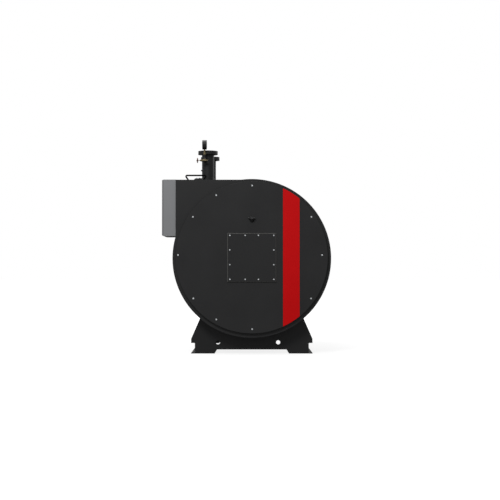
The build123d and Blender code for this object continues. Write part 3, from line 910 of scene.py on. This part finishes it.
def add_cabinet_locks():
    """A barrel in each of the door's two recesses, with a thin dark block on its face as the slot's
    painted shade.
    """
    low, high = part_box("cabinet_door")
    middle = (low.z + high.z) / 2
    barrels = bmesh.new()
    slot_shades = bmesh.new()
    tip = lock_depth - lock_edge
    profile = ((0, 0), (lock_barrel_radius, 0), (lock_barrel_radius, tip - lock_edge),
               (lock_barrel_radius - lock_edge, tip), (0, tip))
    for z in (middle - lock_half_spacing, middle + lock_half_spacing):
        place = aimed((low.x + lock_depth, low.y + lock_edge_gap, z), to_left)
        lathe(barrels, place, profile, steps=32)
        # The slot is not cut; a thin dark block lies on the barrel face as painted shade.
        block(slot_shades, place @ Matrix.Translation((0, 0, tip)), slot_shade_size)
    add_piece("cabinet_locks", barrels, "zinc_steel")
    add_piece("cabinet_lock_slot_shades", slot_shades, "rubber_seal")


def add_gland_plate_screws():
    """Screws at the corners and middles of the plate below the cabinet."""
    low, high, centre = box_of("cabinet_gland_plate")
    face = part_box("cabinet_body")[0].z - gland_plate_thickness
    screws = bmesh.new()
    for x in (low.x + plate_screw_inset, high.x - plate_screw_inset):
        for y in (low.y + plate_screw_inset, centre.y, high.y - plate_screw_inset):
            rivet(screws, aimed((x, y, face), -up, upright=to_front))
    add_piece("gland_plate_screws", screws, "zinc_steel")


# Nozzles and manhole

def add_manhole_bolts():
    """Bolts through the manhole cover and flange."""
    low, high, centre = box_of("manhole_cover")
    circle = (high.x - low.x) / 2 - manhole_bolt_inset
    bolts = bmesh.new()
    centre.z = high.z
    for point in circle_points(centre, circle, manhole_bolt_count, to_back):
        stud_nut(bolts, standing(point), manhole_bolt_size)
    add_piece("manhole_bolts", bolts, "zinc_steel")


def add_flange_faces():
    """The bare machined sealing face on each water flange."""
    faces = bmesh.new()
    for node in ("supply_flange", "return_flange"):
        low, high, centre = box_of(node)
        pipe_low, pipe_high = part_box(node.replace("flange", "nozzle"))
        inner = (pipe_high.x - pipe_low.x) / 2 - face_inner_inset
        outer = (high.x - low.x) / 2 - face_outer_inset
        profile = ((inner, -face_lip), (outer, -face_lip), (outer, face_lip), (inner, face_lip))
        lathe(faces, standing((centre.x, centre.y, high.z)), profile, steps=72, closed=True)
    add_piece("flange_sealing_faces", faces, "bare_steel")


def ring_weld(bm, centre, radius, size=weld_radius, second=to_back):
    """A rippled weld bead round a circle that lies across the boiler and along a second axis."""
    points = circle_points(Vector(centre), radius, weld_count(2 * math.pi * radius), second)
    tube(bm, points, size, closed=True, ripple=weld_ripple)


def pipe_on_drum(bm, centre, radius, size):
    """A bead where an upright pipe meets the curved drum."""
    points = circle_points(centre, radius, weld_count(2 * math.pi * radius), to_back)
    for point in points:
        point.z = axis_z + math.sqrt(drum_radius**2 - (point.x - axis_x)**2)
    tube(bm, points, size, closed=True, ripple=weld_ripple / 2)


def add_nozzle_welds():
    """Weld beads under the flanges of the nozzles, the manhole and the drain."""
    welds = bmesh.new()
    for neck, flange in (("supply_nozzle", "supply_flange"), ("return_nozzle", "return_flange"),
                         ("manhole_neck", "manhole_flange")):
        low, high, centre = box_of(neck)
        ring_weld(welds, (centre.x, centre.y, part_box(flange)[0].z), (high.x - low.x) / 2)
    low, high, centre = box_of("drain_pipe")
    ring_weld(welds, (centre.x, centre.y, low.z), (high.x - low.x) / 2, size=thin_weld)
    add_piece("nozzle_welds", welds, "black_steel", sharp=60)


def add_collar_seals():
    """Sealant where pipes and collars come through the lagging."""
    seals = bmesh.new()
    for node in ("supply_collar", "return_collar"):
        low, high, centre = box_of(node)
        radius = (high.y - low.y) / 2
        pipe_low, pipe_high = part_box(node.replace("collar", "nozzle"))
        pipe_radius = (pipe_high.y - pipe_low.y) / 2
        ring_weld(seals, (centre.x, centre.y, high.z), pipe_radius, size=thin_weld)
        if node == "supply_collar":
            ring_weld(seals, (centre.x, centre.y, low.z), radius, size=thin_weld)
        else:
            pipe_on_drum(seals, centre, radius, thin_weld)
    low, high, centre = box_of("manhole_neck")
    pipe_on_drum(seals, centre, (high.y - low.y) / 2, manhole_seal_radius)
    add_piece("collar_seals", seals, "rubber_seal", sharp=60)


def add_handle_welds():
    """Beads round the feet of the bent handle."""
    low, high, centre = box_of("top_handle")
    welds = bmesh.new()
    for x in (centre.x - handle_foot_half, centre.x + handle_foot_half):
        ring_weld(welds, (x, centre.y, low.z), (high.y - low.y) / 2, size=thin_weld)
    add_piece("handle_welds", welds, "black_steel", sharp=60)


# Instruments

def add_sensor_plug():
    """A hexagon plug in the sensor boss."""
    plug = bmesh.new()
    hex_head(plug, aimed(left_side("sensor_boss"), to_left), *sensor_plug)
    add_piece("sensor_plug", plug, "brass")


def add_instrument_nuts():
    """The socket at the nozzle, unions on the pipe and the riser, and the valve's nuts and bleed cap."""
    cock_low, cock_high, centre = box_of("gauge_cock")
    centre.z = left_side("vent_handwheel").z
    vent_low, vent_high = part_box("vent_valve")
    nozzle_low, nozzle_high, nozzle_centre = box_of("supply_nozzle")
    nozzle_radius = (nozzle_high.y - nozzle_low.y) / 2
    wall_y = nozzle_centre.y - math.sqrt(nozzle_radius**2 - (centre.x - nozzle_centre.x)**2)
    steel = bmesh.new()
    lathe(steel, aimed((centre.x, wall_y, centre.z), to_front), socket_outline)
    for y in (wall_y - wall_union_gap, vent_high.y + tee_union_gap):
        hex_head(steel, aimed((centre.x, y, centre.z), to_front), *pipe_union)
    for z, size in ((vent_high.z + riser_nut_gap, riser_nut), (cock_low.z - riser_union[1], riser_union)):
        hex_head(steel, standing((centre.x, centre.y, z)), *size)
    add_piece("instrument_nuts", steel, "black_steel")
    brass = bmesh.new()
    for inset, size in ((stem_nut_inset, stem_nut), (valve_nut_inset, valve_nut)):
        hex_head(brass, aimed((vent_low.x + inset, centre.y, centre.z), to_left), *size)
    for z, size in ((cock_low.z + cock_nut_inset, cock_nut), (cock_high.z - gauge_nut_inset, gauge_nut)):
        hex_head(brass, standing((centre.x, centre.y, z)), *size)
    hex_head(brass, aimed((vent_high.x - plug_inset, centre.y, centre.z), to_right), *plug_washer)
    add_piece("instrument_brass_nuts", brass, "brass")
    bleed = bmesh.new()
    lathe(bleed, standing((vent_low.x + bleed_inset, centre.y, centre.z)), bleed_outline, steps=20)
    add_piece("valve_bleed_cap", bleed, "gland_plastic")


def add_cock_lever():
    """The flat lever of the gauge cock, with its pin and screw."""
    low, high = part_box("gauge_cock")
    centre = (low + high) / 2
    lever = bmesh.new()
    z = low.z + lever_rise
    lever_place = standing((centre.x, centre.y - lever_reach, z - lever_drop))
    block(lever, lever_place, lever_size, bevel=lever_bevel)
    hex_head(lever, aimed((centre.x, centre.y - lever_screw_reach, z), to_front), *lever_screw)
    pin_place = aimed((centre.x, centre.y - lever_pin_reach, z), to_front)
    lathe(lever, pin_place, disc(lever_pin_radius, 0, lever_pin_length), steps=16)
    add_piece("gauge_cock_lever", lever, "brass")


def add_handwheel_nut():
    """The nut on the end of the valve stem."""
    nut = bmesh.new()
    stud_nut(nut, aimed(left_side("vent_handwheel"), to_left), handwheel_nut_size)
    add_piece("handwheel_nut", nut, "zinc_steel")


def dial_angle(step):
    """Where a step of the scale stands, from the dial's own X axis."""
    return math.radians(90 + dial_sweep / 2 - dial_sweep * step / dial_steps)


def add_gauge_dial():
    """A white dial with ticks, plain numbers and a pointer behind glass."""
    low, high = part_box("pressure_gauge")
    rim = (high.y - low.y) / 2 - bezel_width
    floor = aimed(left_side("pressure_gauge") + dial_recess * to_right, to_left)
    dial = bmesh.new()
    lathe(dial, floor, disc(rim, 0, dial_thickness), steps=64)
    add_piece("gauge_dial", dial, "dial_face")
    marks = bmesh.new()
    face = floor @ Matrix.Translation((0, 0, dial_thickness))
    for step in range(dial_steps * dial_step_ticks + 1):
        length, width = short_tick if step % dial_step_ticks else long_tick
        turn = Matrix.Rotation(dial_angle(step / dial_step_ticks), 4, "Z")
        offset = Matrix.Translation((rim - tick_inset - length / 2, 0, 0))
        block(marks, face @ turn @ offset, (length, width, tick_thickness))
    lathe(marks, face, hub_outline)
    turn = Matrix.Rotation(dial_angle(0), 4, "Z")
    block(marks, face @ turn @ Matrix.Translation(pointer_offset), pointer_size)
    add_piece("gauge_marks", marks, "dial_marks")
    add_dial_numbers(face, rim)
    glass = bmesh.new()
    front = dial_recess - glass_thickness - glass_gap
    lathe(glass, floor, disc(rim, front, front + glass_thickness), steps=64)
    add_piece("gauge_glass", glass, "clear_glass")


def add_dial_numbers(face, rim):
    """Plain numbers round the scale, as one mesh."""
    numbers = bmesh.new()
    for label in dial_labels:
        curve = bpy.data.curves.new("number", "FONT")
        curve.body = str(label)
        curve.size = number_size
        curve.extrude = number_depth
        curve.align_x = "CENTER"
        curve.align_y = "CENTER"
        holder = bpy.data.objects.new("number", curve)
        shape = bpy.data.meshes.new_from_object(holder)
        angle = dial_angle(label)
        reach = rim - number_inset
        offset = (reach * math.cos(angle), reach * math.sin(angle), number_lift)
        shape.transform(face @ Matrix.Translation(offset))
        numbers.from_mesh(shape)
        bpy.data.objects.remove(holder)
        bpy.data.meshes.remove(shape)
    add_piece("gauge_numbers", numbers, "dial_marks")


# Saddles and rails

def add_saddle_welds():
    """Beads between the saddles and the drum, and between the saddles and the rails."""
    welds = bmesh.new()
    sweep = 2 * saddle_weld_half_angle
    count = weld_count(math.radians(sweep) * drum_radius)
    for node in ("front_saddle", "rear_saddle"):
        low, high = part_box(node)
        for y in (low.y, high.y):
            turns = [180 + sweep * (index / count - 0.5) for index in range(count + 1)]
            points = [on_drum(turn, y, drum_radius).translation for turn in turns]
            tube(welds, points, weld_radius, ripple=weld_ripple)
            for rail in ("left_rail", "right_rail"):
                rail_low, rail_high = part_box(rail)
                first = Vector((rail_low.x + rail_weld_inset, y, rail_high.z))
                last = Vector((rail_high.x - rail_weld_inset, y, rail_high.z))
                tube(welds, line_points(first, last), weld_radius, ripple=weld_ripple)
    add_piece("saddle_welds", welds, "black_steel", sharp=60)


def line_points(first, last):
    """Points along a straight weld."""
    count = weld_count((last - first).length)
    return [first.lerp(last, index / count) for index in range(count + 1)]


# Rear cover fittings

def add_flue_weld():
    """The beads where the flue collar meets the rear cover and its flange."""
    low, high, centre = box_of("flue_collar")
    weld = bmesh.new()
    for y in (low.y, high.y):
        ring_weld(weld, (centre.x, y, centre.z), (high.x - low.x) / 2, second=up)
    add_piece("flue_welds", weld, "black_steel", sharp=60)


def add_cleanout_fittings(side):
    """Four clamps with stud nuts and a bent pull on a cleanout cover."""
    low, high, centre = box_of(f"{side}_cleanout_cover")
    clamps = bmesh.new()
    for outwards, edge in ((-1, low.x), (1, high.x)):
        for z in (low.z + clamp_inset, high.z - clamp_inset):
            x = edge + outwards * clamp_offset
            block(clamps, standing((x, high.y + clamp_bar[1] / 2, z)), clamp_bar, bevel=clamp_bar_bevel)
            post = Vector((edge + outwards * clamp_post_offset, rear_face + clamp_post[1] / 2, z))
            block(clamps, standing(post), clamp_post, bevel=clamp_post_bevel)
            stud_nut(clamps, aimed((x, high.y + clamp_bar[1], z), to_back), clamp_nut_size)
    add_piece(f"{side}_cleanout_clamps", clamps, "zinc_steel")
    handle = bmesh.new()
    right = ((pull_half, -pull_root), (pull_half, pull_rise - pull_corner),
             (pull_half - pull_ease, pull_rise - pull_ease), (pull_half - pull_corner, pull_rise))
    path = [(-x, y) for x, y in right] + list(reversed(right))
    points = [Vector((centre.x + x, high.y + y, centre.z)) for x, y in path]
    tube(handle, points, pull_radius, steps=16)
    add_piece(f"{side}_cleanout_handle", handle, "black_steel")


# Stage, lamps and camera

def add_floor():
    """A pale floor that keeps the shadow and is white elsewhere. Undersides don't mirror it."""
    mesh = bpy.data.meshes.new("floor")
    corners = [(x * floor_half, y * floor_half, 0) for x, y in ((-1, -1), (1, -1), (1, 1), (-1, 1))]
    mesh.from_pydata(corners, [], [(0, 1, 2, 3)])
    floor = bpy.data.objects.new("floor", mesh)
    bpy.context.scene.collection.objects.link(floor)
    material = bpy.data.materials.new("floor")
    tree = emptied(material)
    place = place_coordinates(tree)
    distance = add_node(tree, "VectorMath", {0: place}, operation="LENGTH").outputs["Value"]
    level = remapped(tree, distance, near_glow, far_glow, near_floor, far_floor)
    depth = add_node(tree, "SeparateXYZ", {"Vector": place}).outputs["Y"]
    ahead = remapped(tree, depth, 1, 0, mirror_front, mirror_back)
    mirrored = calculated(tree, "MULTIPLY", ray_mask(tree, "Is Glossy Ray"), ahead)
    seen = calculated(tree, "MAXIMUM", ray_mask(tree, "Is Camera Ray", "Is Transmission Ray"), mirrored)
    glow = add_node(tree, "Emission", {"Strength": calculated(tree, "MULTIPLY", seen, level)})
    matt = add_node(tree, "BsdfDiffuse", {"Color": (floor_white, floor_white, floor_white, 1)})
    both = add_node(tree, "AddShader", {0: matt.outputs["BSDF"], 1: glow.outputs["Emission"]})
    add_node(tree, "OutputMaterial", {"Surface": both.outputs["Shader"]})
    mesh.materials.append(material)


def ray_mask(tree, *kinds):
    """One for the kinds of ray that are named, nought for the others."""
    path = add_node(tree, "LightPath")
    seen = path.outputs[kinds[0]]
    for kind in kinds[1:]:
        seen = calculated(tree, "MAXIMUM", seen, path.outputs[kind])
    return seen


def add_surroundings():
    """A plain white room, dimmer as a light than as a background."""
    world = bpy.data.worlds.new("studio")
    tree = emptied(world)
    seen = ray_mask(tree, "Is Camera Ray", "Is Transmission Ray", "Is Glossy Ray")
    strength = remapped(tree, seen, ambient_level, shown_white, 0, 1)
    room = add_node(tree, "Background", {"Color": (1, 1, 1, 1), "Strength": strength})
    add_node(tree, "OutputWorld", {"Surface": room.outputs["Background"]})
    bpy.context.scene.world = world


def add_lamp(name, place, size, power, mirrored):
    """A square soft lamp aimed at the boiler."""
    lamp = bpy.data.lights.new(name, "AREA")
    lamp.shape = "SQUARE"
    lamp.size = size
    lamp.energy = power
    holder = bpy.data.objects.new(name, lamp)
    holder.location = place
    holder.visible_glossy = mirrored
    holder.rotation_euler = (Vector(lamp_target) - Vector(place)).to_track_quat("-Z", "Y").to_euler()
    bpy.context.scene.collection.objects.link(holder)


def add_camera():
    """The photograph's view, square on to the front cover."""
    camera = bpy.data.cameras.new("camera")
    camera.lens = camera_lens
    camera.sensor_width = camera_sensor
    camera.clip_end = camera_reach
    holder = bpy.data.objects.new("camera", camera)
    holder.location = (axis_x, cover_front - camera_distance, camera_height)
    holder.rotation_euler = (math.radians(90 + camera_pitch), 0, math.radians(camera_yaw))
    bpy.context.scene.collection.objects.link(holder)
    bpy.context.scene.camera = holder


finish_nodes()
add_cover_bolts()
add_burner_plate_bolts()
add_sight_glass()
add_rear_cover_seal()
add_band_rivets()
add_lap_seams()
add_edge_screws()
add_housing_screws()
add_cabinet_seal()
add_cabinet_hinges()
add_cabinet_locks()
add_gland_plate_screws()
add_manhole_bolts()
add_flange_faces()
add_nozzle_welds()
add_collar_seals()
add_handle_welds()
add_sensor_plug()
add_instrument_nuts()
add_cock_lever()
add_handwheel_nut()
add_gauge_dial()
add_saddle_welds()
add_flue_weld()
for side in ("left", "right"):
    add_cleanout_fittings(side)
add_floor()
add_surroundings()
for name, lamp in lamps.items():
    add_lamp(name, *lamp)
add_camera()
bpy.context.scene.view_settings.view_transform = "Standard"
